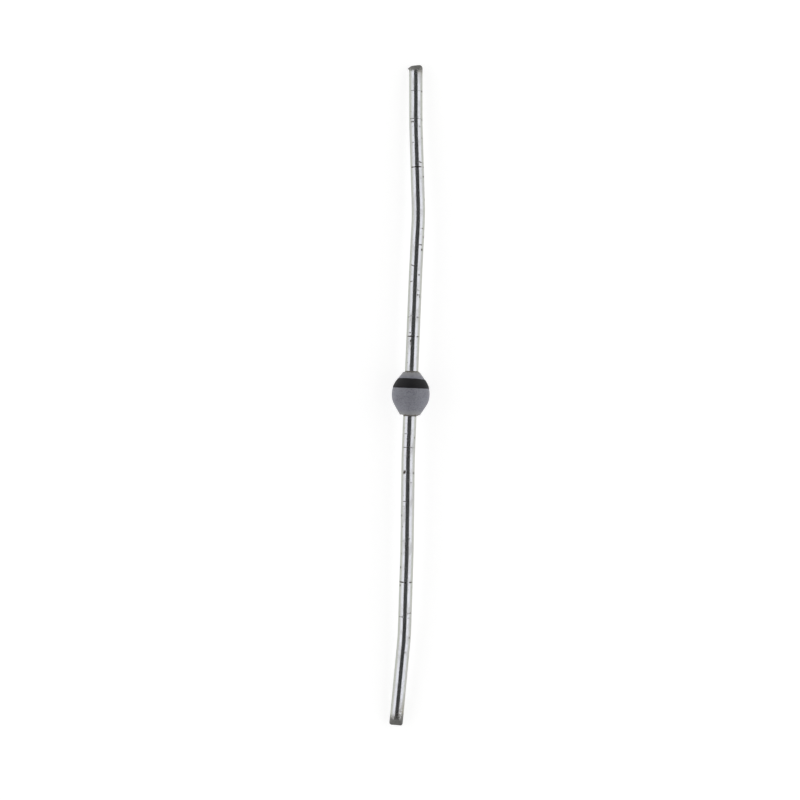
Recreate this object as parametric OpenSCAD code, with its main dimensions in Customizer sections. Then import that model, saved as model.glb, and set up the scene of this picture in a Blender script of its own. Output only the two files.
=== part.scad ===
// Axial rectifier diode: a bead of sintered glass on two studs, with thick tinned copper leads.
// Millimetres, +Z up. The diode lies on the plane z = 0 as it comes to rest: on its bead and on
// the cut ends of both leads. The bead's axis runs along Y, with the cathode at +Y, and the
// origin is on the plane, straight below the middle of the bead.

/* [Bead] */
// Largest diameter of the glass bead
bead_d = 3.62; // [3.3:0.02:4.3]
// Length of the glass bead along its axis
bead_len = 4.1; // [3.9:0.05:5]
// How far the widest ring of the bead lies from its middle, towards the anode
equator_shift = 0.08; // [0:0.01:0.2]
// Radius of the bead's outline round its widest ring
equator_arc_r = 2.6; // [2.3:0.1:4]
// Angle over which that arc runs towards the cathode, in degrees
cathode_turn = 12; // [6:1:20]
// Angle over which that arc runs towards the anode, in degrees
anode_turn = 4; // [3:1:12]
// Radius that rounds the widest arc into the cathode slope
cathode_knee_r = 2; // [1:0.1:2.2]
// Radius that rounds the widest arc into the anode slope
anode_knee_r = 1.9; // [1:0.1:2.2]
// Wall of glass round the outer end of the cathode stud
cathode_lip = 0.08; // [0.06:0.01:0.14]
// Wall of glass round the outer end of the anode stud
anode_lip = 0.24; // [0.1:0.01:0.3]
// Radius on the outer edge of both ends of the glass
lip_edge_r = 0.06; // [0.03:0.01:0.07]

/* [Cathode band] */
// Distance from the bead's cathode end to the printed band
band_inset = 0.58; // [0.4:0.02:0.8]
// Width of the printed band, along the axis
band_w = 0.88; // [0.6:0.02:1]
// Thickness of the ink
ink_t = 0.03; // [0.02:0.01:0.05]

/* [Stack inside the glass] */
// Diameter of the molybdenum studs
stud_d = 1.44; // [1.4:0.01:1.5]
// Diameter of the silicon die on its cathode side
die_d = 1.36; // [1.2:0.01:1.4]
// Thickness of the silicon die
die_t = 0.26; // [0.2:0.01:0.36]
// Slant of the die's etched edge, in degrees from the axis
die_edge_slant = 20; // [0:1:40]
// Thickness of each aluminium bond between the die and a stud
bond_t = 0.03; // [0.02:0.01:0.05]

/* [Leads] */
// Diameter of the lead wire
lead_d = 1.3; // [1.2:0.01:1.35]
// Length of the cathode lead from the glass to its tip
cathode_lead_len = 29.5; // [28:0.1:34]
// Length of the anode lead from the glass to its tip
anode_lead_len = 29.9; // [28:0.1:34]
// Distance from the glass to the bend that lets the cathode lead fall to the plane
cathode_fall_at = 12.2; // [11:0.1:12.6]
// Distance from the glass to the bend that lets the anode lead fall to the plane
anode_fall_at = 15.6; // [15:0.1:19]
// Radius of the wire's soft bends, at its centre line
bend_r = 25; // [15:1:32]
// Thickness of the braze between a lead and its stud
braze_t = 0.04; // [0.02:0.01:0.08]
// Height of the braze fillet round the foot of a lead
fillet_h = 0.14; // [0.1:0.01:0.25]
// Width of the blunt rim at the top of the braze fillet
fillet_rim = 0.02; // [0.01:0.01:0.04]

/* [Cut ends] */
// Length of the two bevels that the cutter left at the tip of the cathode lead
cathode_bevel = 0.5; // [0.35:0.05:0.7]
// Length of the two bevels that the cutter left at the tip of the anode lead
anode_bevel = 0.7; // [0.5:0.05:0.9]
// Thickness of the blunt edge between the bevels
cut_edge_t = 0.3; // [0.2:0.05:0.5]
// Slant of the cathode lead's cut edge, in degrees
cut_slant = 12; // [0:1:15]
// Radius of the corners that the cutter dragged round
cut_corner_r = 0.24; // [0.15:0.01:0.3]
// How far the burr stands out from the side of the cathode lead
burr_out = 0.18; // [0.1:0.01:0.22]
// Length of the burr along the cathode lead
burr_len = 0.4; // [0.3:0.05:0.6]
// Thickness of the burr
burr_t = 0.12; // [0.08:0.01:0.16]

/* [Hidden] */
$fn = 96;

CATHODE = 1;
ANODE = -1;
// How far an arc stands proud of the straight or the arc that runs into it, so that they cross.
PROUD = 0.00005;
// How many degrees a knee's sector reaches past each of its ends.
PAST = 5;

bead_r = bead_d / 2;
half_len = bead_len / 2;
stud_r = stud_d / 2;
lead_r = lead_d / 2;
// The die sits in the middle. A bond and a stud on each side reach the end of the glass.
bond_at = die_t / 2;
stud_at = bond_at + bond_t;
die_cathode_r = die_d / 2;
die_anode_r = die_cathode_r - die_t * tan(die_edge_slant);

// The corners of each lead, laid flat: [distance from the glass, shift along X]. The last is its tip.
cathode_corners = [[9.3, 0], [15.1, 0.06], [23.8, -0.54], [cathode_lead_len, -0.77]];
anode_corners = [[4, 0], [12.9, 0.24], [21.2, 0.32], [anode_lead_len, -0.15]];

// ---------------------------------------------------------------- helpers

function unit(v) = v / norm(v);
function compass(angle) = [cos(angle), sin(angle)];

// Lays a shape made round Z on the bead's axis, with its +Z towards the cathode or the anode.
module on_axis(side = CATHODE) {
    translate([0, 0, bead_r]) rotate([-90 * side, 0, 0]) children();
}

// A disc round Z whose lower face is at height z.
module disc(r, t, z) {
    translate([0, 0, z]) cylinder(r = r, h = t);
}

// A sector of a circle in 2D.
module sector(centre, r, from, to) {
    intersection() {
        translate(centre) circle(r = r);
        polygon([centre, for (i = [0:2]) centre + 2 * r * compass(from + (to - from) * i / 2)]);
    }
}

// ---------------------------------------------------------------- glass bead and band

// The outline of one end, as [radius, distance from the middle]: a flat end, a small edge arc, a
// straight slope, a knee arc, and the equator arc that both ends share. Each touches the next.
function pick(side, cathode, anode) = side == CATHODE ? cathode : anode;
function turn(side) = pick(side, cathode_turn, anode_turn);
function knee_r(side) = pick(side, cathode_knee_r, anode_knee_r);
function lip_corner(side) = [stud_r + pick(side, cathode_lip, anode_lip), half_len];
function equator(side) = [bead_r - equator_arc_r, -side * equator_shift];
function knee(side) = equator(side) + (equator_arc_r - knee_r(side)) * compass(turn(side));
// The slope runs from the lip's corner and touches the knee arc. It is an angle from the axis.
function slope(side) =
    let (v = knee(side) - lip_corner(side)) atan2(v.y, v.x) + acos(-knee_r(side) / norm(v));
function edge(side) =
    let (back = lip_edge_r * (1 - sin(slope(side))) / cos(slope(side)))
    lip_corner(side) - [back, lip_edge_r];

// The corners of one end's outline, from the equator to the axis, grown by a given amount.
function end_points(side, grow) = [
    for (p = [
        equator(side) + (equator_arc_r + grow) * compass(turn(side)),
        knee(side) + (knee_r(side) + grow) * compass(slope(side)),
        edge(side) + (lip_edge_r + grow) * compass(slope(side)),
        [edge(side).x, half_len + grow],
        [0, half_len + grow]
    ]) [p.x, side * p.y]
];

module end_arcs(side, grow) {
    translate([edge(side).x, side * edge(side).y]) circle(r = lip_edge_r + grow + PROUD);
    sector(
        [knee(side).x, side * knee(side).y], knee_r(side) + grow + PROUD,
        side * (turn(side) - PAST), side * (slope(side) + PAST)
    );
}

// Half of the bead's section, from the axis outwards, grown by a given amount.
module bead_section(grow = 0) {
    far = end_points(ANODE, grow);
    intersection() {
        translate([0, -bead_len]) square([bead_d, 2 * bead_len]);
        union() {
            polygon(concat(end_points(CATHODE, grow), [for (i = [len(far) - 1:-1:0]) far[i]]));
            sector(equator(CATHODE), equator_arc_r + grow, -turn(ANODE), turn(CATHODE));
            end_arcs(CATHODE, grow);
            end_arcs(ANODE, grow);
        }
    }
}

// Half of the section of everything that the glass is fused to.
module stack_section() {
    polygon([
        [-stud_r, -bead_len], [stud_r, -bead_len], [stud_r, -stud_at],
        [die_anode_r, -stud_at], [die_anode_r, -bond_at],
        [die_cathode_r, bond_at], [die_cathode_r, stud_at],
        [stud_r, stud_at], [stud_r, bead_len], [-stud_r, bead_len]
    ]);
}

module glass_bead() {
    color([0.46, 0.47, 0.51])
    on_axis()
    rotate_extrude()
    difference() {
        bead_section();
        stack_section();
    }
}

module cathode_band() {
    color([0.07, 0.07, 0.08])
    on_axis()
    rotate_extrude()
    difference() {
        intersection() {
            bead_section(ink_t);
            translate([0, half_len - band_inset - band_w]) square([bead_d, band_w]);
        }
        bead_section();
    }
}

// ---------------------------------------------------------------- stack inside the glass

module silicon_die() {
    color([0.32, 0.33, 0.36])
    on_axis()
    translate([0, 0, -bond_at]) cylinder(r1 = die_anode_r, r2 = die_cathode_r, h = die_t);
}

module cathode_bond() {
    color([0.8, 0.81, 0.82]) on_axis(CATHODE) disc(die_cathode_r, bond_t, bond_at);
}

module anode_bond() {
    color([0.8, 0.81, 0.82]) on_axis(ANODE) disc(die_anode_r, bond_t, bond_at);
}

module stud(side) {
    color([0.55, 0.56, 0.58]) on_axis(side) disc(stud_r, half_len - stud_at, stud_at);
}
module cathode_stud() { stud(CATHODE); }
module anode_stud() { stud(ANODE); }

// The braze lies between the stud and the lead, and climbs the foot of the lead in a hollow fillet.
module braze(side) {
    gap = stud_r - lead_r - fillet_rim;
    hollow_r = (pow(gap, 2) + pow(fillet_h, 2)) / (2 * gap);
    color([0.36, 0.29, 0.22])
    on_axis(side)
    rotate_extrude()
    difference() {
        translate([0, half_len]) square([stud_r, braze_t + fillet_h]);
        translate([0, half_len + braze_t]) square([lead_r, 2 * fillet_h]);
        translate([lead_r + fillet_rim + hollow_r, half_len + braze_t + fillet_h]) circle(r = hollow_r);
    }
}
module cathode_braze() { braze(CATHODE); }
module anode_braze() { braze(ANODE); }

// ---------------------------------------------------------------- leads

// A lead is drawn along +Z with +Y up, from its foot on the braze to its tip. It is laid flat as
// points [z, x, fall], where fall is the angle of the one bend that takes it down to the plane.

// Direction of the leg that starts at point i.
function heading(points, i) = atan2(points[i + 1][1] - points[i][1], points[i + 1][0] - points[i][0]);

// The fall that brings the tip down until the wire touches the plane where the lower bevel begins.
// run is the way from the falling bend to the tip, and swing is how far the wire turns on it.
function fall_angle(run, swing, bevel, guess = 4, tries = 6) =
    let (slope = asin(sin(guess) * cos(swing)), height = lead_r * cos(slope) - bevel * sin(slope))
    tries == 0 ? guess : fall_angle(run, swing, bevel, asin((bead_r - height) / run), tries - 1);

function lead_points(side, corners, fall_at, bevel) =
    let (
        flat = [[braze_t, 0], for (c = corners) [c[0], -side * c[1]]],
        ends = len(flat) - 1,
        k = len([for (p = flat) if (p[0] < fall_at) p]) - 1,
        here = flat[k] + (flat[k + 1] - flat[k]) * (fall_at - flat[k][0]) / (flat[k + 1][0] - flat[k][0]),
        run = (flat[ends] - here) * unit(flat[k + 1] - flat[k]),
        swing = heading(flat, ends - 1) - heading(flat, k)
    )
    [
        for (i = [0:k]) [flat[i][0], flat[i][1], 0],
        [here[0], here[1], fall_angle(run, swing, bevel)],
        for (i = [k + 1:ends]) [flat[i][0], flat[i][1], 0]
    ];

// The nearest angle whose cosine has six decimals, so that every seam of the wire fits exactly.
function seamless(angle) = acos(round(cos(angle) * 1e6) / 1e6);

// Goes from the start of a bend to its end.
module after_bend(angle) {
    translate([bend_r * (1 - cos(angle)), 0, bend_r * sin(angle)]) rotate([0, angle, 0]) children();
}

// A soft bend of the wire, from +Z towards +X. It is revolved a little too far and then cut off
// square, so that its last face lies exactly on the first face of the stretch that follows.
module bend(angle) {
    difference() {
        translate([bend_r, 0, 0]) rotate([90, 0, 180])
            rotate_extrude(angle = angle + PAST) translate([bend_r, 0]) circle(r = lead_r);
        after_bend(angle) translate([-lead_d, -lead_d, 0]) cube([2 * lead_d, 2 * lead_d, bend_r]);
    }
}

// The wire from point i on. done is the length that the bend before has already used up.
// The child draws the last stretch, whose length is $stretch.
module wire(points, i = 0, done = 0) {
    leg = norm([points[i + 1][0] - points[i][0], points[i + 1][1] - points[i][1]]);
    if (i == len(points) - 2) {
        $stretch = leg - done;
        children();
    } else {
        fall = points[i + 1][2];
        turn = heading(points, i + 1) - heading(points, i);
        angle = seamless(fall > 0 ? fall : abs(turn));
        facing = fall > 0 ? -90 : turn > 0 ? 0 : 180;
        used = bend_r * tan(angle / 2);
        cylinder(r = lead_r, h = leg - done - used);
        translate([0, 0, leg - done - used]) rotate([0, 0, facing]) {
            bend(angle);
            after_bend(angle) rotate([0, 0, -facing]) wire(points, i + 1, used) children();
        }
    }
}

// Rounds a corner of the cut edge on one side of the wire, where the slant ends.
module corner_cutter(right, slant) {
    x = right * (lead_r - cut_corner_r);
    from = right > 0 ? 0 : 180;
    to = 90 - slant;
    translate([x, 0, -(cut_corner_r + x * sin(slant)) / cos(slant)])
    rotate([90, 0, 0]) linear_extrude(2 * lead_d, center = true)
    difference() {
        polygon([[0, 0], for (i = [0:2]) 2 * lead_r * compass(from + (to - from) * i / 2)]);
        circle(r = cut_corner_r + PROUD);
    }
}

// The last stretch of a lead. The cutter's two jaws left a bevel above and a bevel below, with a
// blunt edge between them that lies across the wire.
module cut_stretch(length, bevel, slant, round_sides) {
    bevel_reach = bevel * cos(slant) * (lead_d - cut_edge_t / 2) / (lead_r - cut_edge_t / 2);
    difference() {
        cylinder(r = lead_r, h = length + lead_r);
        translate([0, 0, length]) {
            rotate([0, slant, 0]) rotate([0, -90, 0]) linear_extrude(2 * lead_d, center = true)
            polygon([
                [-bevel_reach, -lead_d], [0, -cut_edge_t / 2], [0, cut_edge_t / 2],
                [-bevel_reach, lead_d], [lead_d, lead_d], [lead_d, -lead_d]
            ]);
            for (right = round_sides) corner_cutter(right, slant);
        }
    }
}

// The burr is a thin tongue that the cutter squeezed out of the wire's side.
module burr(length) {
    root = lead_r - burr_out;
    translate([0, 0, length]) rotate([90, 0, 0]) linear_extrude(burr_t, center = true)
    polygon([
        [root, -burr_len * 0.5], [lead_r + burr_out, -burr_len * 0.55],
        [lead_r + burr_out * 0.7, -burr_len * 0.8], [root, -burr_len * 1.4]
    ]);
}

module cathode_lead() {
    color([0.78, 0.79, 0.8])
    on_axis(CATHODE) translate([0, 0, half_len + braze_t]) rotate([0, 0, 180])
    wire(lead_points(CATHODE, cathode_corners, cathode_fall_at, cathode_bevel))
    union() {
        cut_stretch($stretch, cathode_bevel, cut_slant, [-1]);
        burr($stretch);
    }
}

module anode_lead() {
    color([0.78, 0.79, 0.8])
    on_axis(ANODE) translate([0, 0, half_len + braze_t])
    wire(lead_points(ANODE, anode_corners, anode_fall_at, anode_bevel))
    cut_stretch($stretch, anode_bevel, 0, [1, -1]);
}

glass_bead();
cathode_band();
silicon_die();
cathode_bond();
anode_bond();
cathode_stud();
anode_stud();
cathode_braze();
anode_braze();
cathode_lead();
anode_lead();
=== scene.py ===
import math

import bmesh
import bpy
import numpy as np
from bpy.props import FloatProperty, FloatVectorProperty, PointerProperty
from bpy.types import Operator, Panel, PropertyGroup
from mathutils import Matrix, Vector, noise


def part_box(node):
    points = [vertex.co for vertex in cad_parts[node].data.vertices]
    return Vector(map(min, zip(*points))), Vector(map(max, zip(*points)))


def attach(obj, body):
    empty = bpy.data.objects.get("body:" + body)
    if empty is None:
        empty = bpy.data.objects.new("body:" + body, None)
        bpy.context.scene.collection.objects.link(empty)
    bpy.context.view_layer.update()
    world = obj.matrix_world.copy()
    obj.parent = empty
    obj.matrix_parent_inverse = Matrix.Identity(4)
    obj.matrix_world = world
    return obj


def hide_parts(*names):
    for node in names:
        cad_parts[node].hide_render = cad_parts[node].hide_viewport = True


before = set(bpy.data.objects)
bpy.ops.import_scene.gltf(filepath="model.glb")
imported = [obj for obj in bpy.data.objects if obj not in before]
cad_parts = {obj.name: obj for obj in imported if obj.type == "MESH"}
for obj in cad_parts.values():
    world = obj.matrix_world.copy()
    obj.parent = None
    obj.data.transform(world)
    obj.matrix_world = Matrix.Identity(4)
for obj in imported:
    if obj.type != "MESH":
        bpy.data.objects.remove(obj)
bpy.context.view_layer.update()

bl_info = {
    "name": "Axial rectifier diode",
    "version": (1, 0, 0),
    "blender": (4, 5, 0),
    "location": "3D View > Sidebar > Diode",
    "description": "Dresses the diode's frame: glass bead, printed band, braze and tinned leads",
    "category": "Object",
}

MM = 0.001
BEAD_LOW, BEAD_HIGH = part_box("glass_bead")
AXIS_HEIGHT = (BEAD_LOW.z + BEAD_HIGH.z) / 2
LEAD_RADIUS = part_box("cathode_lead")[1].z - AXIS_HEIGHT
STUD_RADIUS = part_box("cathode_stud")[1].x
BAND_LOW, BAND_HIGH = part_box("cathode_band")


# ---------------------------------------------------------------- shapes


def smooth_step(low, high, value):
    """0 below low, 1 above high, and a smooth rise between them."""
    share = np.clip((value - low) / (high - low), 0, 1)
    return share * share * (3 - 2 * share)


def rough(points, size, seed=0.0):
    """A smooth random value from -1 to 1 at each point. size is how far apart its lumps are."""
    shift = Vector((seed * 17.3, seed * 5.1, seed * 9.7))
    flat = points.reshape(-1, 3) / size
    return np.array([noise.noise(Vector(p) + shift) for p in flat]).reshape(points.shape[:-1])


def cut_across(node, places):
    """Where planes across Y cut a CAD node: the middle and the half width of each cut."""
    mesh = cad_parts[node].data
    points = np.array([v.co for v in mesh.vertices])
    ends = np.array([e.vertices for e in mesh.edges])
    start, end = points[ends[:, 0]], points[ends[:, 1]]
    middles, half_widths = [], []
    for y in places:
        crossing = (start[:, 1] - y) * (end[:, 1] - y) < 0
        a, b = start[crossing], end[crossing]
        cut = a + (b - a) * ((y - a[:, 1]) / (b[:, 1] - a[:, 1]))[:, None]
        low, high = cut.min(0), cut.max(0)
        middles.append((low + high) / 2)
        half_widths.append((high[0] - low[0]) / 2)
    return np.array(middles), np.array(half_widths)


def ring_piece(name, rings, hoop=False, **marks):
    """A smooth closed piece over rings of points. A hoop's last ring joins its first, and any
    other piece closes on the middles of its end rings. Each mark gives every point a value that
    the finish reads by that name."""
    count, around = rings.shape[:2]
    points = rings.reshape(-1, 3)
    values = {key: mark.reshape(-1) for key, mark in marks.items()}
    last = count * around
    faces = []
    for i in range(count if hoop else count - 1):
        here, there = i * around, (i + 1) % count * around
        for j in range(around):
            k = (j + 1) % around
            faces.append((here + j, here + k, there + k, there + j))
    if not hoop:
        points = np.vstack([points, rings[0].mean(0), rings[-1].mean(0)])
        values = {key: np.append(v, [v[0], v[-1]]) for key, v in values.items()}
        for j in range(around):
            k = (j + 1) % around
            faces.append((last, k, j))
            faces.append((last + 1, last - around + j, last - around + k))
    mesh = bpy.data.meshes.new(name)
    mesh.from_pydata(points.tolist(), [], faces)
    shape = bmesh.new()
    shape.from_mesh(mesh)
    bmesh.ops.recalc_face_normals(shape, faces=shape.faces)
    shape.to_mesh(mesh)
    shape.free()
    mesh.shade_smooth()
    for key, value in values.items():
        mesh.attributes.new(key, "FLOAT", "POINT").data.foreach_set("value", value)
    piece = bpy.data.objects.new(name, mesh)
    bpy.context.scene.collection.objects.link(piece)
    return piece


def set_piece(piece, finish, slot, *nodes):
    """Gives a piece its finish and its place in the frame."""
    piece.data.materials.append(finish)
    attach(piece, "root")
    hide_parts(*nodes)


def turned(outline, around):
    """Rings round the bead's axis through an outline of [radius, place along Y]."""
    angle = np.linspace(0, 2 * math.pi, around, endpoint=False)
    radius = outline[:, 0][:, None]
    x = radius * np.cos(angle)
    y = np.repeat(outline[:, 1][:, None], around, 1)
    z = radius * np.sin(angle)
    return np.stack([x, y, z], -1)


def place_on_axis(rings):
    """Moves rings round the Y axis up to the bead's axis."""
    return rings + np.array([0, 0, AXIS_HEIGHT])


def bead_radius(places):
    """The radius of the glass at each place along Y, read from the frame."""
    inside = np.clip(places, BEAD_LOW.y + 0.004 * MM, BEAD_HIGH.y - 0.004 * MM)
    return cut_across("glass_bead", inside)[1]


# ---------------------------------------------------------------- finishes


class Signal:
    """A shader socket's value. Maths written on it adds the Math nodes."""

    def __init__(self, finish, socket):
        self.finish = finish
        self.socket = socket

    def maths(self, operation, *values):
        return self.finish.add("Math", {"operation": operation}, dict(enumerate(values)))

    def __add__(self, other):
        return self.maths("ADD", self, other)

    def __radd__(self, other):
        return self.maths("ADD", other, self)

    def __sub__(self, other):
        return self.maths("SUBTRACT", self, other)

    def __rsub__(self, other):
        return self.maths("SUBTRACT", other, self)

    def __mul__(self, other):
        return self.maths("MULTIPLY", self, other)

    def __rmul__(self, other):
        return self.maths("MULTIPLY", other, self)

    def rise(self, low, high):
        """0 where this is below low, 1 where it is above high, and smooth between them."""
        return self.finish.add(
            "MapRange",
            {"interpolation_type": "SMOOTHSTEP"},
            {"Value": self, "From Min": low, "From Max": high},
        )


class Finish:
    """A procedural material, whose nodes are added one by one."""

    def __init__(self, name):
        self.material = bpy.data.materials.new(name)
        self.material.use_nodes = True
        self.tree = self.material.node_tree
        self.tree.nodes.clear()

    def add(self, kind, settings=None, inputs=None, output=0):
        """Adds a node of a kind, with its settings and then its inputs, and gives one output."""
        node = self.tree.nodes.new("ShaderNode" + kind)
        for key, value in (settings or {}).items():
            setattr(node, key, value)
        for key, value in (inputs or {}).items():
            if isinstance(value, Signal):
                self.tree.links.new(value.socket, node.inputs[key])
            else:
                node.inputs[key].default_value = value
        return Signal(self, node.outputs[output])

    def place(self, x=1.0, y=1.0, z=1.0):
        """The place on the object in millimetres, stretched by a factor along each axis."""
        where = self.add("TexCoord", output="Object")
        scale = (x / MM, y / MM, z / MM)
        return self.add("VectorMath", {"operation": "MULTIPLY"}, {0: where, 1: scale})

    def grain(self, scale, detail=2.0, stretch=(1.0, 1.0, 1.0), harshness=0.5):
        """Noise with a number of lumps per millimetre."""
        return self.add(
            "TexNoise",
            {"noise_dimensions": "3D"},
            {
                "Vector": self.place(*stretch),
                "Scale": scale,
                "Detail": detail,
                "Roughness": harshness,
            },
        )

    def mark(self, name):
        """A value that the piece's points carry."""
        return self.add("Attribute", {"attribute_name": name}, output="Fac")

    def blend(self, share, first, second):
        """The first colour where share is 0 and the second where it is 1."""
        return self.add("Mix", {"data_type": "RGBA"}, {0: share, 6: first, 7: second}, 2)

    def shade(self, colour, factor):
        """A colour times a value."""
        grey = self.add("CombineColor", inputs={0: factor, 1: factor, 2: factor})
        settings = {"data_type": "RGBA", "blend_type": "MULTIPLY"}
        return self.add("Mix", settings, {0: 1.0, 6: colour, 7: grey}, 2)

    def relief(self, height, depth, under=None):
        """A bump from a height of 0 to 1 that is depth millimetres deep, over another one."""
        inputs = {"Height": height, "Distance": depth * MM, "Strength": 1.0}
        if under is not None:
            inputs["Normal"] = under
        return self.add("Bump", inputs=inputs)

    def done(self, **inputs):
        """Ends the finish in a Principled shader and gives the material."""
        names = {key.replace("_", " ").title(): value for key, value in inputs.items()}
        names = {key.replace("Ior", "IOR"): value for key, value in names.items()}
        shader = self.add("BsdfPrincipled", inputs=names)
        output = self.tree.nodes.new("ShaderNodeOutputMaterial")
        self.tree.links.new(shader.socket, output.inputs["Surface"])
        return self.material


def colour_of(prop):
    """A colour property as a shader takes it."""
    return (*prop, 1.0)


# ---------------------------------------------------------------- settings


class BeadSettings(PropertyGroup):
    """Looks of the bead, its band and its braze"""

    glass_colour: FloatVectorProperty(
        name="Glass", description="Colour of the sintered glass", subtype="COLOR",
        default=(0.36, 0.365, 0.42), min=0, max=1,
    )
    glass_dark: FloatVectorProperty(
        name="Glass grains", description="Colour of the darker grains in the glass",
        subtype="COLOR", default=(0.2, 0.2, 0.235), min=0, max=1,
    )
    # Painted highlight: the paler colour towards both ends of the bead stands in for the light
    # that its sloping ends catch, not thinner glass.
    painted_end_highlight_colour: FloatVectorProperty(
        name="Rims", description="Colour of the thin glass at both ends", subtype="COLOR",
        default=(0.42, 0.42, 0.42), min=0, max=1,
    )
    ink_colour: FloatVectorProperty(
        name="Ink", description="Colour of the printed cathode band", subtype="COLOR",
        default=(0.014, 0.014, 0.016), min=0, max=1,
    )
    ink_thickness: FloatProperty(
        name="Ink thickness", description="How far the ink stands on the glass",
        default=0.018 * MM, min=0.005 * MM, max=0.028 * MM, unit="LENGTH", precision=6,
    )
    ink_spread: FloatProperty(
        name="Ink spread", description="How far the ink ran past the band towards the middle",
        default=0.09 * MM, min=0, max=0.1 * MM, unit="LENGTH", precision=6,
    )
    ink_waver: FloatProperty(
        name="Ink waver", description="How far the edges of the band wander",
        default=0.03 * MM, min=0, max=0.06 * MM, unit="LENGTH", precision=6,
    )
    rim_waver: FloatProperty(
        name="Rim waver", description="How far the melted rims of the glass wander",
        default=0.03 * MM, min=0, max=0.06 * MM, unit="LENGTH", precision=6,
    )
    braze_height: FloatProperty(
        name="Braze height", description="How far the braze climbs up the leads",
        default=0.045 * MM, min=0.042 * MM, max=0.14 * MM, unit="LENGTH", precision=6,
    )
    braze_colour: FloatVectorProperty(
        name="Braze", description="Colour of the braze round the feet of the leads",
        subtype="COLOR", default=(0.075, 0.05, 0.028), min=0, max=1,
    )


class LeadSettings(PropertyGroup):
    """Looks of both leads"""

    tin_colour: FloatVectorProperty(
        name="Tin", description="Colour of the bright tin", subtype="COLOR",
        default=(0.79, 0.8, 0.86), min=0, max=1,
    )
    # Painted reflection: the olive grey along both sides of the wire stands in for the floor that
    # the tin reflects there, not rubbed tin.
    painted_flank_reflection_colour: FloatVectorProperty(
        name="Flanks", description="Colour along both sides, where the tin is rubbed dull",
        subtype="COLOR", default=(0.46, 0.475, 0.42), min=0, max=1,
    )
    dull_colour: FloatVectorProperty(
        name="Dull tin", description="Colour where the tin has dulled", subtype="COLOR",
        default=(0.5, 0.5, 0.5), min=0, max=1,
    )
    tarnish_colour: FloatVectorProperty(
        name="Tarnish", description="Colour of the brown tarnish near the tips",
        subtype="COLOR", default=(0.24, 0.215, 0.17), min=0, max=1,
    )
    dirt_colour: FloatVectorProperty(
        name="Dirt", description="Colour of the nicks and stains", subtype="COLOR",
        default=(0.07, 0.06, 0.05), min=0, max=1,
    )
    cut_colour: FloatVectorProperty(
        name="Cut metal", description="Colour of the sheared tips", subtype="COLOR",
        default=(0.2, 0.2, 0.19), min=0, max=1,
    )
    nick_depth: FloatProperty(
        name="Nick depth", description="Depth of the nicks that handling left on the wire",
        default=0.012 * MM, min=0, max=0.03 * MM, unit="LENGTH", precision=6,
    )
    unevenness: FloatProperty(
        name="Unevenness", description="How far the tinned skin departs from a true cylinder",
        default=0.004 * MM, min=0, max=0.02 * MM, unit="LENGTH", precision=6,
    )


class StageSettings(PropertyGroup):
    """The floor, the light and the view"""

    floor_colour: FloatVectorProperty(
        name="Floor", description="Colour of the floor", subtype="COLOR",
        default=(0.9, 0.9, 0.9), min=0, max=1,
    )
    floor_glow: FloatProperty(
        name="Floor glow", description="Share of the floor's white that no shadow takes away",
        default=0.8, min=0, max=1, subtype="FACTOR",
    )
    shadow_colour: FloatVectorProperty(
        name="Shadow share", description="The part of the floor's white that shadows take away",
        subtype="COLOR", default=(0.44, 0.44, 0.44), min=0, max=1,
    )
    sky_colour: FloatVectorProperty(
        name="Light tent", description="Colour of the light all round", subtype="COLOR",
        default=(1.0, 1.0, 1.0), min=0, max=1,
    )
    opening_shift: FloatProperty(
        name="Opening shift", description="How far the dark opening stands to one side",
        default=-3.5 * MM, min=-20 * MM, max=20 * MM, unit="LENGTH",
    )
    opening_angle: FloatProperty(
        name="Opening", description="Half of the tent's dark opening, as seen from the diode",
        default=math.radians(33), min=math.radians(5), max=math.radians(60), subtype="ANGLE",
    )
    view_width: FloatProperty(
        name="View width", description="Width of the view at the height of the bead's axis",
        default=76.48 * MM, min=70 * MM, max=120 * MM, unit="LENGTH",
    )
    view_turn: FloatProperty(
        name="View turn", description="How far the diode looks turned clockwise in the view",
        default=math.radians(2.3), min=-math.pi, max=math.pi, subtype="ANGLE",
    )


# ---------------------------------------------------------------- the bead


def sintered_glass(look):
    """Matt grey glass: pale ground, darker grains, a painted highlight towards both ends, and a
    faint stain round the melted rims.
    """
    glass = Finish("sintered_glass")
    cloud = glass.grain(0.9, 3.0).rise(0.35, 0.7)
    grains = glass.grain(9.0, 4.0, harshness=0.65).rise(0.42, 0.66)
    fine = glass.grain(28.0, 2.0)
    ground = glass.blend(
        0.7 * grains + 0.3 * cloud, colour_of(look.glass_colour), colour_of(look.glass_dark)
    )
    # Painted highlight: paler glass towards both ends, standing in for the light that the sloping
    # ends catch.
    thin = glass.mark("rim") * (0.35 + 0.9 * glass.grain(3.0, 3.0))
    glass_with_painted_highlight = glass.blend(thin, ground, colour_of(look.painted_end_highlight_colour))
    stain = glass.mark("lip") * glass.grain(5.0, 3.0).rise(0.5, 0.6)
    colour = glass.blend(0.8 * stain, glass_with_painted_highlight, colour_of(look.braze_colour))
    swell = glass.relief(glass.grain(2.2, 2.0), 0.012)
    pits = glass.relief(0.6 * grains + 0.4 * fine, 0.006, swell)
    return glass.done(
        base_color=colour,
        roughness=0.46 + 0.14 * fine,
        normal=pits,
    )


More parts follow.
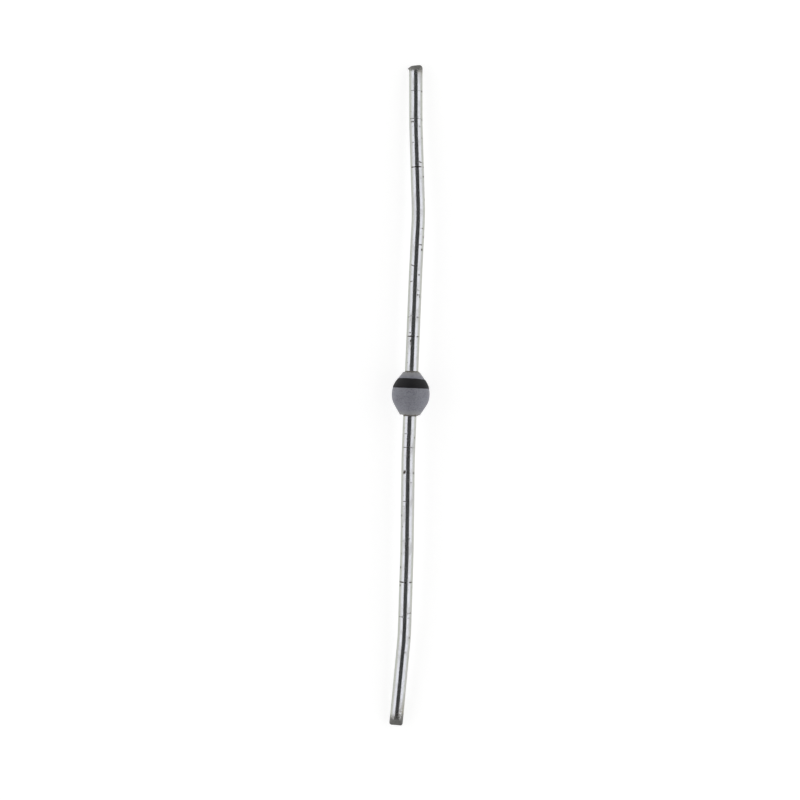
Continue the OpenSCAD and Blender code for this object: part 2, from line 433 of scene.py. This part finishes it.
class DIODE_OT_bead(Operator):
    """Builds the sintered glass bead with its melted rims"""

    bl_idname = "diode.bead"
    bl_label = "Glass bead"

    def execute(self, context):
        look = context.scene.diode_bead
        middle = (BEAD_LOW.y + BEAD_HIGH.y) / 2
        half = (BEAD_HIGH.y - BEAD_LOW.y) / 2
        # Places crowd towards both ends, where the rims turn in.
        swing = np.linspace(-math.pi / 2, math.pi / 2, 97)
        places = middle + (half - 0.002 * MM) * np.sin(swing)
        skin = np.stack([bead_radius(places), places], -1)
        bore = STUD_RADIUS + 0.004 * MM
        rims = []
        for end in (skin[-1], skin[0]):
            for share in (0.35, 0.7, 1.0):
                radius = end[0] + (bore - end[0]) * share
                sink = 0.012 * MM * math.sin(share * math.pi / 2)
                rims.append([radius, end[1] - math.copysign(sink, end[1])])
        inner = [[bore, middle + half * share] for share in (0.9, 0.0, -0.9)]
        outline = np.array([*skin, *rims[:3], *inner, *rims[:2:-1]])
        rings = turned(outline, 144)
        # The rims wander, the skin between them only a little.
        near_rim = smooth_step(0.72, 1.0, np.abs(rings[..., 1] - middle) / half)
        outside = np.hypot(rings[..., 0], rings[..., 2]) > bore + 0.01 * MM
        near_rim = near_rim * outside
        lump = rough(rings, 0.55 * MM, 1.0)
        fine = rough(rings, 0.18 * MM, 2.0)
        waver = look.rim_waver * near_rim * (0.6 * lump + 0.4 * fine)
        dent = 0.006 * MM * rough(rings, 1.6 * MM, 3.0) * outside
        spoke = rings / np.maximum(np.hypot(rings[..., 0], rings[..., 2]), 1e-9)[..., None]
        spoke[..., 1] = 0
        rings = rings + spoke * np.minimum(waver + dent, 0)[..., None]
        rings[..., 1] -= np.sign(rings[..., 1] - middle) * np.abs(waver) * 0.9
        from_end = half - np.abs(rings[..., 1] - middle)
        lip = smooth_step(0.16 * MM, 0.03 * MM, from_end)
        piece = ring_piece("bead", place_on_axis(rings), hoop=True, rim=near_rim, lip=lip)
        set_piece(piece, sintered_glass(look), "sintered_glass", "glass_bead")
        return {"FINISHED"}


def printed_ink(look):
    """Matt ink, a little uneven, with grains of glass showing where it is thin."""
    ink = Finish("printed_ink")
    thin = ink.grain(7.0, 4.0, harshness=0.7).rise(0.6, 0.78)
    edge = ink.mark("edge")
    worn = thin * (0.12 + 0.6 * edge)
    colour = ink.blend(worn, colour_of(look.ink_colour), colour_of(look.glass_dark))
    cloud = ink.grain(1.6, 3.0)
    return ink.done(
        base_color=ink.shade(colour, 0.75 + 0.5 * cloud),
        roughness=0.5 + 0.2 * ink.grain(14.0, 2.0),
        specular_ior_level=0.25,
        normal=ink.relief(ink.grain(12.0, 3.0), 0.005),
    )


class DIODE_OT_band(Operator):
    """Prints the cathode band round the bead"""

    bl_idname = "diode.band"
    bl_label = "Cathode band"

    def execute(self, context):
        look = context.scene.diode_bead
        around, across = 216, 25
        angle = np.linspace(0, 2 * math.pi, around, endpoint=False)
        circle = np.stack([np.cos(angle), np.zeros(around), np.sin(angle)], -1)
        near, far = BAND_LOW.y - look.ink_spread, BAND_HIGH.y
        radius = BAND_HIGH.x
        waver = look.ink_waver
        slow, quick = rough(circle * radius, 0.9 * MM, 4.0), rough(circle * radius, 0.22 * MM, 5.0)
        low_edge = near + waver * (0.5 + 0.6 * slow + 0.35 * quick)
        slow, quick = rough(circle * radius, 1.1 * MM, 6.0), rough(circle * radius, 0.25 * MM, 7.0)
        high_edge = far - waver * (0.5 + 0.6 * slow + 0.35 * quick)
        high_edge -= 0.07 * MM * smooth_step(0.3, 1.0, np.cos(angle))
        # Across the band: up its edge, over the ink, down its other edge, and back underneath.
        share = np.concatenate([np.linspace(0, 1, across), np.linspace(1, 0, 9)[1:-1]])
        rise = np.sin(np.clip(np.minimum(share, 1 - share) / 0.06, 0, 1) * math.pi / 2)
        height = look.ink_thickness * rise
        height[across:] = -0.004 * MM
        y = low_edge + (high_edge - low_edge) * share[:, None]
        table = np.linspace(near - 0.05 * MM, far + 0.05 * MM, 60)
        glass = np.interp(y, table, bead_radius(table))
        reach = glass + height[:, None]
        rings = np.stack([reach * np.cos(angle), y, reach * np.sin(angle)], -1)
        edge = np.repeat(
            1 - smooth_step(0.0, 0.16, np.minimum(share, 1 - share))[:, None], around, 1
        )
        piece = ring_piece("cathode_band_ink", place_on_axis(rings), hoop=True, edge=edge)
        set_piece(piece, printed_ink(look), "band_ink", "cathode_band")
        return {"FINISHED"}


def browned_braze(look):
    """Copper braze that the sealing heat has browned, with brighter specks."""
    braze = Finish("browned_braze")
    specks = braze.grain(11.0, 3.0).rise(0.55, 0.7)
    thin = (1 - braze.mark("lump")).rise(0.3, 0.85) * (0.6 + 0.4 * braze.grain(4.0, 2.0))
    browned = braze.blend(0.4 * specks, colour_of(look.braze_colour), (0.3, 0.2, 0.12, 1.0))
    colour = braze.blend(thin, browned, (0.42, 0.4, 0.35, 1.0))
    return braze.done(
        base_color=colour,
        metallic=0.7,
        roughness=0.45 + 0.25 * braze.grain(6.0, 2.0),
        normal=braze.relief(braze.grain(9.0, 3.0), 0.015),
    )


class DIODE_OT_braze(Operator):
    """Builds the lumpy braze round the foot of each lead"""

    bl_idname = "diode.braze"
    bl_label = "Braze"

    def execute(self, context):
        look = context.scene.diode_bead
        finish = browned_braze(look)
        for name, side in (("cathode_braze", 1), ("anode_braze", -1)):
            low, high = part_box(name)
            root, top = sorted((low.y * side, high.y * side))
            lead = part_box(name.replace("braze", "lead"))
            lead_foot = min(abs(corner.y) for corner in lead)
            rim = high.x
            foot = LEAD_RADIUS
            # From the middle of the stud's end out to the fillet, up it, and back to the lead.
            bends = np.linspace(0, math.pi / 2, 9)
            height = look.braze_height
            fillet = [
                [rim + (foot - rim) * math.sin(b), root + height * (1 - math.cos(b))]
                for b in bends
            ]
            flat = [[0.3 * rim, root], [0.7 * rim, root], [rim * 0.98, root]]
            inner = [[foot, lead_foot], [foot * 0.5, lead_foot]]
            outline = np.array([*flat, *fillet, *inner])
            rings = turned(outline, 144)
            # Lumps of braze have run out here and there, more of them at the anode.
            on_fillet = np.zeros((len(outline), 1))
            on_fillet[len(flat):-len(inner), 0] = np.sin(bends * 2) * 0.6 + np.cos(bends) * 0.5
            lumps = smooth_step(0.0, 0.45, rough(rings * [1, 0, 1], 0.26 * MM, 8.0 + side))
            # The anode's braze ran out on one side.
            ran_out = smooth_step(-0.3, 0.5, rings[..., 0] / rim) if side < 0 else 0.5
            lumps = lumps * ran_out
            growth = 1 + 0.2 * lumps * on_fillet
            rings[..., 0] *= growth
            rings[..., 2] *= growth
            rings[..., 1] = np.minimum(rings[..., 1] + 0.08 * MM * lumps * on_fillet, top)
            rings[..., 1] *= side
            piece = ring_piece(name + "_ring", place_on_axis(rings), lump=lumps)
            set_piece(piece, finish, "braze", name)
        return {"FINISHED"}


# ---------------------------------------------------------------- the leads


class Mark:
    """A nick or a stain on a lead. place is millimetres from the bead's middle, and angle is
    degrees round the wire, where 0 faces +X and 90 faces up. spread is the angle it covers and
    width its breadth along the wire. lean is how far it runs along the wire in a radian."""

    def __init__(self, place, angle=90, spread=180, width=0.045, depth=1.0, dark=1.0, lean=0.0):
        self.place = place
        self.angle = angle
        self.spread = spread
        self.width = width
        self.depth = depth
        self.dark = dark
        self.lean = lean


ALL_ROUND = 360
LEFT, RIGHT = 122, 58
LEFT_EDGE, RIGHT_EDGE = 152, 28
CATHODE_MARKS = (
    Mark(29.0, 90, 110, 0.04, dark=0.8),
    Mark(28.95, RIGHT_EDGE, 30, 0.09, 0.6),
    Mark(26.3, 90, 130, 0.04, dark=0.8),
    Mark(26.2, RIGHT_EDGE, 26, 0.08, 0.6),
    Mark(26.0, LEFT, 30, 0.09, 0.4, 0.7),
    Mark(25.5, RIGHT, 20, 0.08, 0.5, 0.8),
    Mark(24.4, RIGHT_EDGE, 24, 0.08, 0.5, 0.8),
    Mark(24.0, LEFT, 22, 0.07, 0.5, 0.7),
    Mark(22.05, 52, 56, 0.05, 1.2, 1.0, 0.2),
    Mark(21.64, 90, ALL_ROUND, 0.055, 1.3),
    Mark(20.7, RIGHT_EDGE, 18, 0.08, 0.5, 0.8),
    Mark(18.5, 15, 24, 0.08, 0.5, 0.8),
    Mark(17.35, 90, 50, 0.045, 1.0, 0.2),
    Mark(15.76, RIGHT, 40, 0.045, 0.8, 0.8),
    Mark(14.95, RIGHT_EDGE, 24, 0.09, 0.4, 0.8),
    Mark(14.2, 62, 44, 0.06, 1.2),
    Mark(13.75, 42, 22, 0.1, 0.6, 0.9),
    Mark(12.2, 116, 58, 0.05, 1.1, 0.9, 0.22),
    Mark(11.35, RIGHT, 14, 0.1, 0.5, 1.0),
    Mark(10.7, LEFT, 34, 0.06, 0.8, 0.8, -0.15),
    Mark(9.9, 68, 46, 0.05, 1.1, 0.9, 0.2),
    Mark(9.42, RIGHT, 36, 0.06, 1.1),
    Mark(9.25, 46, 14, 0.09, 0.5),
    Mark(7.4, 118, 56, 0.05, 1.1, 0.9, -0.3),
    Mark(7.3, 64, 40, 0.055, 1.1),
    Mark(7.0, LEFT, 30, 0.035, 0.6, 0.6),
    Mark(5.8, LEFT, 24, 0.07, 0.6, 0.7),
    Mark(5.45, 90, 120, 0.055, 1.2),
    Mark(5.0, 108, 12, 0.12, 0.6, 1.0),
    Mark(4.7, 109, 12, 0.1, 0.6, 1.0),
)
ANODE_MARKS = (
    Mark(2.8, LEFT_EDGE, 20, 0.1, 0.4, 0.8),
    Mark(3.55, 36, 24, 0.13, 0.5, 1.2),
    Mark(3.85, LEFT, 26, 0.05, 0.8, 0.9),
    Mark(4.2, 32, 18, 0.09, 0.5, 1.2),
    Mark(4.35, 107, 10, 0.08, 0.5),
    Mark(5.15, 90, 130, 0.045, 1.1, 0.9),
    Mark(7.55, 128, 40, 0.16, 0.5, 0.9, 0.35),
    Mark(7.6, 36, 26, 0.12, 0.4, 0.8),
    Mark(8.5, RIGHT, 22, 0.06, 0.6, 0.7),
    Mark(10.3, 118, 30, 0.055, 1.2),
    Mark(10.75, LEFT, 28, 0.05, 0.6, 0.6),
    Mark(11.65, LEFT_EDGE, 22, 0.09, 0.5, 0.8),
    Mark(12.7, 138, 22, 0.09, 0.5, 0.9),
    Mark(13.85, 72, 22, 0.1, 0.8, 0.9, 0.15),
    Mark(14.06, LEFT, 24, 0.08, 0.6, 0.8),
    Mark(16.6, LEFT_EDGE, 20, 0.1, 0.4, 0.7),
    Mark(17.98, 90, ALL_ROUND, 0.06, 1.5, 1.3),
    Mark(18.3, LEFT_EDGE, 18, 0.12, 0.5, 0.8),
    Mark(18.45, 32, 18, 0.09, 0.5, 0.6),
    Mark(20.95, 54, 46, 0.06, 0.9, 0.8, 0.1),
    Mark(21.3, 126, 44, 0.06, 1.2, 1.1),
    Mark(21.4, RIGHT, 30, 0.05, 0.5, 0.5),
    Mark(23.3, 40, 18, 0.1, 0.5, 0.9),
    Mark(24.7, 72, 12, 0.1, 0.5, 0.8),
)


def centre_line(node, side, tip):
    """The middle of a lead at places along its length, smooth, and carried on to its tip."""
    low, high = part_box(node)
    start = min(abs(low.y), abs(high.y)) + 0.02 * MM
    step = 0.1 * MM
    cut_zone = 2.0 * MM
    beyond = 1.2 * MM
    half_window = 6
    seen = np.arange(start, tip - cut_zone, step)
    middles = cut_across(node, side * seen)[0]
    reach = np.arange(start - beyond, tip + beyond, step)
    last = seen > seen[-1] - cut_zone
    window = np.hanning(2 * half_window + 1)
    window /= window.sum()
    line = []
    for axis in (0, 2):
        slope, offset = np.polyfit(seen[last], middles[last, axis], 1)
        value = np.interp(reach, seen, middles[:, axis])
        value = np.where(reach > seen[-1], slope * reach + offset, value)
        before = np.full(half_window, value[0])
        after = value[-1] + slope * step * np.arange(1, half_window + 1)
        padded = np.concatenate([before, value, after])
        line.append(np.convolve(padded, window, "valid"))
    return reach, line[0], line[1]


def stations(foot, tip, marks):
    """Places for the rings of a lead, closer together on its marks and at its tip."""
    places = [np.arange(foot, tip, 0.13 * MM)]
    for mark in marks:
        half = (3 * mark.width + abs(mark.lean) * math.radians(mark.spread) / 2) * MM
        middle = mark.place * MM
        step = max(mark.width * 0.4, 0.02) * MM
        places.append(np.arange(middle - half, middle + half, step))
    places.append(np.arange(tip - 1.3 * MM, tip - 0.02 * MM, 0.035 * MM))
    places.append(tip - np.array([0.02, 0.012, 0.005, 0.0]) * MM)
    merged = np.unique(np.concatenate(places).round(7))
    kept = [merged[0]]
    for place in merged[1:]:
        if place - kept[-1] > 0.012 * MM or place > tip - 0.03 * MM:
            kept.append(place)
    return np.array(kept)


def tinned_wire(look):
    """Bright tin drawn along the wire, with a painted reflection of the floor along both flanks,
    dull in patches, dark in its nicks, and grey where it was sheared."""
    tin = Finish("tinned_wire")
    lines = tin.grain(9.0, 3.0, stretch=(1.0, 0.06, 1.0))
    patches = tin.grain(1.3, 3.0, stretch=(1.0, 0.5, 1.0)).rise(0.46, 0.7)
    mottle = tin.grain(5.0, 3.0, stretch=(1.0, 0.5, 1.0), harshness=0.6)
    flecks = tin.grain(8.0, 3.0, stretch=(1.0, 0.6, 1.0), harshness=0.6).rise(0.62, 0.7)
    # Painted reflection: both flanks are darkened toward olive grey to stand in for the floor
    # reflected in the tin.
    flank = tin.mark("flank") * (0.7 + 0.5 * mottle)
    dull = 0.6 * patches * (0.35 + mottle) + 0.24 * lines.rise(0.4, 0.66)
    tin_with_painted_reflection = tin.blend(flank, colour_of(look.tin_colour), colour_of(look.painted_flank_reflection_colour))
    bright = tin.blend(dull, tin_with_painted_reflection, colour_of(look.dull_colour))
    tarnish = tin.mark("tarnish") * tin.grain(7.0, 4.0, harshness=0.65).rise(0.3, 0.56)
    stained = tin.blend(0.9 * tarnish, bright, colour_of(look.tarnish_colour))
    torn = tin.grain(7.0, 4.0, harshness=0.7).rise(0.3, 0.62)
    cut = (0.5 * tin.mark("cut") + tin.mark("bruise") * (0.4 + 0.75 * torn)).rise(0.05, 0.9)
    sheared = tin.blend(cut, stained, colour_of(look.cut_colour))
    dirt = (1.25 * tin.mark("scar") + 0.45 * flecks).rise(0.06, 0.8)
    colour = tin.blend(dirt, sheared, colour_of(look.dirt_colour))
    wave = tin.relief(tin.grain(1.7, 2.0, stretch=(1.0, 0.5, 1.0)), 0.004)
    drawn = tin.relief(lines, 0.0015, wave)
    grit = tin.relief(tin.grain(16.0, 3.0), 0.0012, drawn)
    return tin.done(
        base_color=colour,
        metallic=1.0,
        roughness=0.15 + 0.1 * patches + 0.2 * dirt + 0.3 * cut + 0.16 * tarnish,
        normal=grit,
    )


class Tip:
    """How a lead's end was sheared off. Lengths are in millimetres."""

    def __init__(self, bevel, edge, slant, corner, burr, dull_from, bruise):
        self.bevel = bevel * MM
        self.edge = edge * MM
        self.slant = math.tan(math.radians(slant))
        self.corner = corner * MM
        self.burr = burr * MM
        self.dull_from = dull_from * MM
        self.bruise = bruise * MM


def nicked(radius, scar, place, angle, marks, broken, depth):
    """The wire's radius with a groove at each mark, and how dark each point is for them."""
    for mark in marks:
        turn = np.angle(np.exp(1j * (angle - math.radians(mark.angle))))
        spread = math.radians(mark.spread) / 2
        window = 1 - smooth_step(spread * 0.8, spread * 1.1, np.abs(turn))
        if mark.spread == ALL_ROUND:
            window = np.ones_like(turn)
        offset = place[:, None] - (mark.place + mark.lean * turn) * MM
        groove = np.exp(-((offset / (mark.width * MM)) ** 2)) * window
        radius = radius - depth * mark.depth * groove * np.clip(broken, 0.2, 1)
        scar = np.maximum(scar, mark.dark * groove * np.clip(broken, 0, 1))
    return radius, scar


def build_lead(name, node, side, marks, tip_shape, look, finish):
    """A lead as rings along the frame's wire, with an uneven skin, nicks and a sheared tip."""
    low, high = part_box(node)
    foot = min(abs(low.y), abs(high.y))
    tip = max(abs(low.y), abs(high.y))
    reach, line_x, line_z = centre_line(node, side, tip)
    end_slope = abs(line_x[-1] - line_x[-9]) + abs(line_z[-1] - line_z[-9])
    tip -= (LEAD_RADIUS - tip_shape.corner) * end_slope / (reach[-1] - reach[-9])
    place = stations(foot, tip, marks)
    around = 80
    angle = np.linspace(0, 2 * math.pi, around, endpoint=False)[None, :]
    x = np.interp(place, reach, line_x)
    z = np.interp(place, reach, line_z)
    slope_x = side * np.interp(place, reach, np.gradient(line_x, reach))
    slope_z = side * np.interp(place, reach, np.gradient(line_z, reach))
    along = np.stack([slope_x, np.ones_like(place), slope_z], -1)
    along /= np.linalg.norm(along, axis=1)[:, None]
    across = np.cross(along, [0, 0, 1])
    across /= np.linalg.norm(across, axis=1)[:, None]
    up = np.cross(across, along)

    wire = np.stack(
        [
            LEAD_RADIUS * np.cos(angle) + 0 * place[:, None],
            place[:, None] + 0 * angle,
            LEAD_RADIUS * np.sin(angle) + 0 * place[:, None],
        ],
        -1,
    )
    slow = wire * np.array([1, 0.45, 1])
    # Mask for the painted floor reflection along both sides of the wire.
    flank = smooth_step(0.52, 0.8, np.abs(np.cos(angle))) + 0 * place[:, None]
    skin = rough(slow, 0.8 * MM, 10.0 + side) + 0.35 * rough(slow, 0.3 * MM, 12.0 + side)
    radius = LEAD_RADIUS - look.unevenness * (0.8 + skin)
    scar = np.zeros_like(radius)
    broken = 0.55 + 0.9 * rough(wire * np.array([1, 0.2, 1]), 0.22 * MM, 14.0 + side)
    radius, scar = nicked(radius, scar, place, angle, marks, broken, look.nick_depth)

    # The sheared tip: bevels above and below, corners dragged round, a slanted edge and a burr.
    left = np.maximum(tip - place, 0)[:, None]
    side_way = radius * np.cos(angle)
    height = radius * np.sin(angle)
    chew = 0.02 * MM * rough(wire, 0.2 * MM, 16.0 + side)
    half = tip_shape.edge / 2 + (LEAD_RADIUS - tip_shape.edge / 2) * np.minimum(
        left / tip_shape.bevel, 1
    )
    in_bevel = left < tip_shape.bevel
    half = half + chew * in_bevel * (left > 0.05 * MM)
    cut = np.clip((np.abs(height) - half) / (0.07 * MM) + 0.3, 0, 1) * in_bevel
    height = np.clip(height, -half, half) * 0.995
    corner = tip_shape.corner
    inset = corner - np.sqrt(np.maximum(corner**2 - np.maximum(corner - left, 0) ** 2, 0))
    side_way = side_way * (1 - inset / LEAD_RADIUS)
    if tip_shape.burr:
        lobe = np.exp(-(((left - 0.12 * MM) / (0.13 * MM)) ** 2))
        facing = np.clip(-np.cos(angle), 0, 1) ** 6 * np.exp(-((height / (0.16 * MM)) ** 2))
        side_way = side_way - tip_shape.burr * lobe * facing
    lean = tip_shape.slant * smooth_step(2.6 * MM, 0.9 * MM, left)
    shift = -lean * (LEAD_RADIUS - side_way)
    if tip_shape.burr:
        shift = shift - 0.1 * MM * lobe * facing

    rings = np.stack([x, side * place, z], -1)[:, None, :] + (
        side_way[..., None] * across[:, None, :] + height[..., None] * up[:, None, :]
    )
    rings[..., 1] += side * shift
    # The tarnish creeps further up one flank, and the cutter bruised the skin round the tip.
    creep = tip_shape.dull_from * (0.75 + 0.45 * np.cos(angle))
    tarnish = 1 - smooth_step(0.15, 1.0, left / creep)
    bitten = 0.85 + 0.12 * np.cos(angle) + 0.3 * rough(wire, 0.3 * MM, 18.0 + side)
    bruise = 1 - smooth_step(0.35, 1.0, left / (tip_shape.bruise * bitten))
    end = 1 - smooth_step(0.0, 0.06 * MM, left) + 0 * angle
    cut = np.maximum(cut, end)
    # Close the end with two smaller rings, so that the sheared face has its own points.
    face = [rings[-1].mean(0) + (rings[-1] - rings[-1].mean(0)) * share for share in (0.7, 0.35)]
    rings = np.concatenate([rings, np.array(face)])
    marks = {"scar": scar, "tarnish": tarnish, "cut": cut, "flank": flank, "bruise": bruise}
    marks = {key: np.concatenate([mark, mark[-1:], mark[-1:]]) for key, mark in marks.items()}
    piece = ring_piece(name, rings, **marks)
    set_piece(piece, finish, "tinned_copper", node)


class DIODE_OT_leads(Operator):
    """Builds both tinned leads with their nicks and sheared tips"""

    bl_idname = "diode.leads"
    bl_label = "Leads"

    def execute(self, context):
        look = context.scene.diode_leads
        finish = tinned_wire(look)
        cathode_tip = Tip(0.5, 0.3, slant=5.5, corner=0.34, burr=0.21, dull_from=1.4, bruise=0.95)
        anode_tip = Tip(0.7, 0.3, slant=0, corner=0.2, burr=0, dull_from=3.4, bruise=1.7)
        build_lead("cathode_wire", "cathode_lead", 1, CATHODE_MARKS, cathode_tip, look, finish)
        build_lead("anode_wire", "anode_lead", -1, ANODE_MARKS, anode_tip, look, finish)
        return {"FINISHED"}


# ---------------------------------------------------------------- inside the glass


def inner_finish(name, base, fleck, metallic, roughness, scale):
    """A plain finish with grain, for what the glass hides."""
    inner = Finish(name)
    grain = inner.grain(scale, 3.0)
    return inner.done(
        base_color=inner.blend(grain.rise(0.4, 0.7), base, fleck),
        metallic=metallic,
        roughness=roughness + 0.2 * grain,
        normal=inner.relief(grain, 0.003),
    )


class DIODE_OT_stack(Operator):
    """Finishes the die, the bonds and the studs inside the glass"""

    bl_idname = "diode.stack"
    bl_label = "Stack"

    def execute(self, context):
        silicon = inner_finish(
            "etched_silicon", (0.09, 0.095, 0.11, 1), (0.16, 0.165, 0.19, 1), 0.0, 0.25, 6.0
        )
        bond = inner_finish(
            "aluminium_film", (0.72, 0.73, 0.75, 1), (0.55, 0.56, 0.58, 1), 1.0, 0.35, 12.0
        )
        stud = inner_finish(
            "turned_molybdenum", (0.42, 0.42, 0.43, 1), (0.3, 0.3, 0.31, 1), 1.0, 0.3, 9.0
        )
        finishes = {
            "silicon_die": silicon,
            "cathode_bond": bond,
            "anode_bond": bond,
            "cathode_stud": stud,
            "anode_stud": stud,
        }
        for node, finish in finishes.items():
            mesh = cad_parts[node].data
            mesh.materials.clear()
            mesh.materials.append(finish)
        return {"FINISHED"}


# ---------------------------------------------------------------- the stage


def card(name, width, length, height, finish):
    """A flat card on the stage, level, above the middle of the diode."""
    corners = [(-1, -1), (1, -1), (1, 1), (-1, 1)]
    points = [(x * width / 2, y * length / 2, height) for x, y in corners]
    mesh = bpy.data.meshes.new(name)
    mesh.from_pydata(points, [], [(0, 1, 2, 3)])
    mesh.materials.append(finish)
    piece = bpy.data.objects.new(name, mesh)
    bpy.context.scene.collection.objects.link(piece)
    return piece


def white_floor(look):
    """A pale floor that the view and reflections see near white, with the diode's soft shadow."""
    floor = Finish("white_floor")
    paint = floor.add("BsdfDiffuse", inputs={"Color": colour_of(look.floor_colour)})
    veil = floor.add("BsdfDiffuse", inputs={"Color": colour_of(look.shadow_colour)})
    glow = floor.add("Emission", inputs={"Color": (1, 1, 1, 1), "Strength": look.floor_glow})
    white = floor.add("AddShader", inputs={0: veil, 1: glow})
    path = floor.add("LightPath")
    outputs = path.socket.node.outputs
    seen = (
        path
        + Signal(floor, outputs["Is Glossy Ray"])
        + Signal(floor, outputs["Is Transmission Ray"])
    )
    shader = floor.add("MixShader", inputs={0: seen, 1: paint, 2: white})
    output = floor.tree.nodes.new("ShaderNodeOutputMaterial")
    floor.tree.links.new(shader.socket, output.inputs["Surface"])
    return floor.material


def dark_card():
    """Unlit black cloth."""
    cloth = Finish("dark_cloth")
    return cloth.done(base_color=(0.085, 0.088, 0.08, 1), roughness=0.9)


class DIODE_OT_stage(Operator):
    """Sets up the floor, the light tent with its dark opening, and the camera"""

    bl_idname = "diode.stage"
    bl_label = "Stage"

    def execute(self, context):
        look = context.scene.diode_stage
        scene = context.scene
        floor_side = 3.0
        card("floor", floor_side, floor_side, 0.0, white_floor(look))
        above, length = 0.06, 0.5
        width = 2 * above * math.tan(look.opening_angle)
        opening = card("tent_opening", width, length, AXIS_HEIGHT + above, dark_card())
        opening.location.x = look.opening_shift
        opening.visible_camera = False

        world = bpy.data.worlds.new("light_tent")
        world.use_nodes = True
        sky = world.node_tree.nodes["Background"]
        sky.inputs["Color"].default_value = colour_of(look.sky_colour)
        sky.inputs["Strength"].default_value = 1.0
        scene.world = world

        lens = bpy.data.cameras.new("camera")
        lens.lens = 100
        lens.sensor_width = 36
        camera = bpy.data.objects.new("camera", lens)
        distance = look.view_width * lens.lens / lens.sensor_width
        # The middle of the view lies a little to the side of the bead.
        camera.location = (-1.002 * MM, -0.656 * MM, AXIS_HEIGHT + distance)
        camera.rotation_euler = (0, 0, look.view_turn)
        lens.clip_start = 0.01
        lens.clip_end = 10
        scene.collection.objects.link(camera)
        scene.camera = camera
        scene.view_settings.view_transform = "Standard"
        return {"FINISHED"}


# ---------------------------------------------------------------- the add-on


class DIODE_PT_parts(Panel):
    """Lists the diode's pieces with their settings"""

    bl_idname = "DIODE_PT_parts"
    bl_label = "Diode"
    bl_space_type = "VIEW_3D"
    bl_region_type = "UI"
    bl_category = "Diode"

    def draw(self, context):
        layout = self.layout
        for settings, operators in GROUPS:
            box = layout.box()
            for operator in operators:
                box.operator(operator.bl_idname)
            if settings:
                group = getattr(context.scene, settings)
                for name in group.__annotations__:
                    box.prop(group, name)


GROUPS = (
    ("diode_bead", (DIODE_OT_bead, DIODE_OT_band, DIODE_OT_braze)),
    ("diode_leads", (DIODE_OT_leads,)),
    (None, (DIODE_OT_stack,)),
    ("diode_stage", (DIODE_OT_stage,)),
)
SETTINGS = {
    "diode_bead": BeadSettings,
    "diode_leads": LeadSettings,
    "diode_stage": StageSettings,
}


def register():
    for name, settings in SETTINGS.items():
        bpy.utils.register_class(settings)
        setattr(bpy.types.Scene, name, PointerProperty(type=settings))
    for _, operators in GROUPS:
        for operator in operators:
            bpy.utils.register_class(operator)
    bpy.utils.register_class(DIODE_PT_parts)


def unregister():
    bpy.utils.unregister_class(DIODE_PT_parts)
    for _, operators in reversed(GROUPS):
        for operator in reversed(operators):
            bpy.utils.unregister_class(operator)
    for name, settings in SETTINGS.items():
        delattr(bpy.types.Scene, name)
        bpy.utils.unregister_class(settings)


def main():
    register()
    bpy.ops.diode.bead()
    bpy.ops.diode.band()
    bpy.ops.diode.braze()
    bpy.ops.diode.leads()
    bpy.ops.diode.stack()
    bpy.ops.diode.stage()


if __name__ == "__main__":
    main()
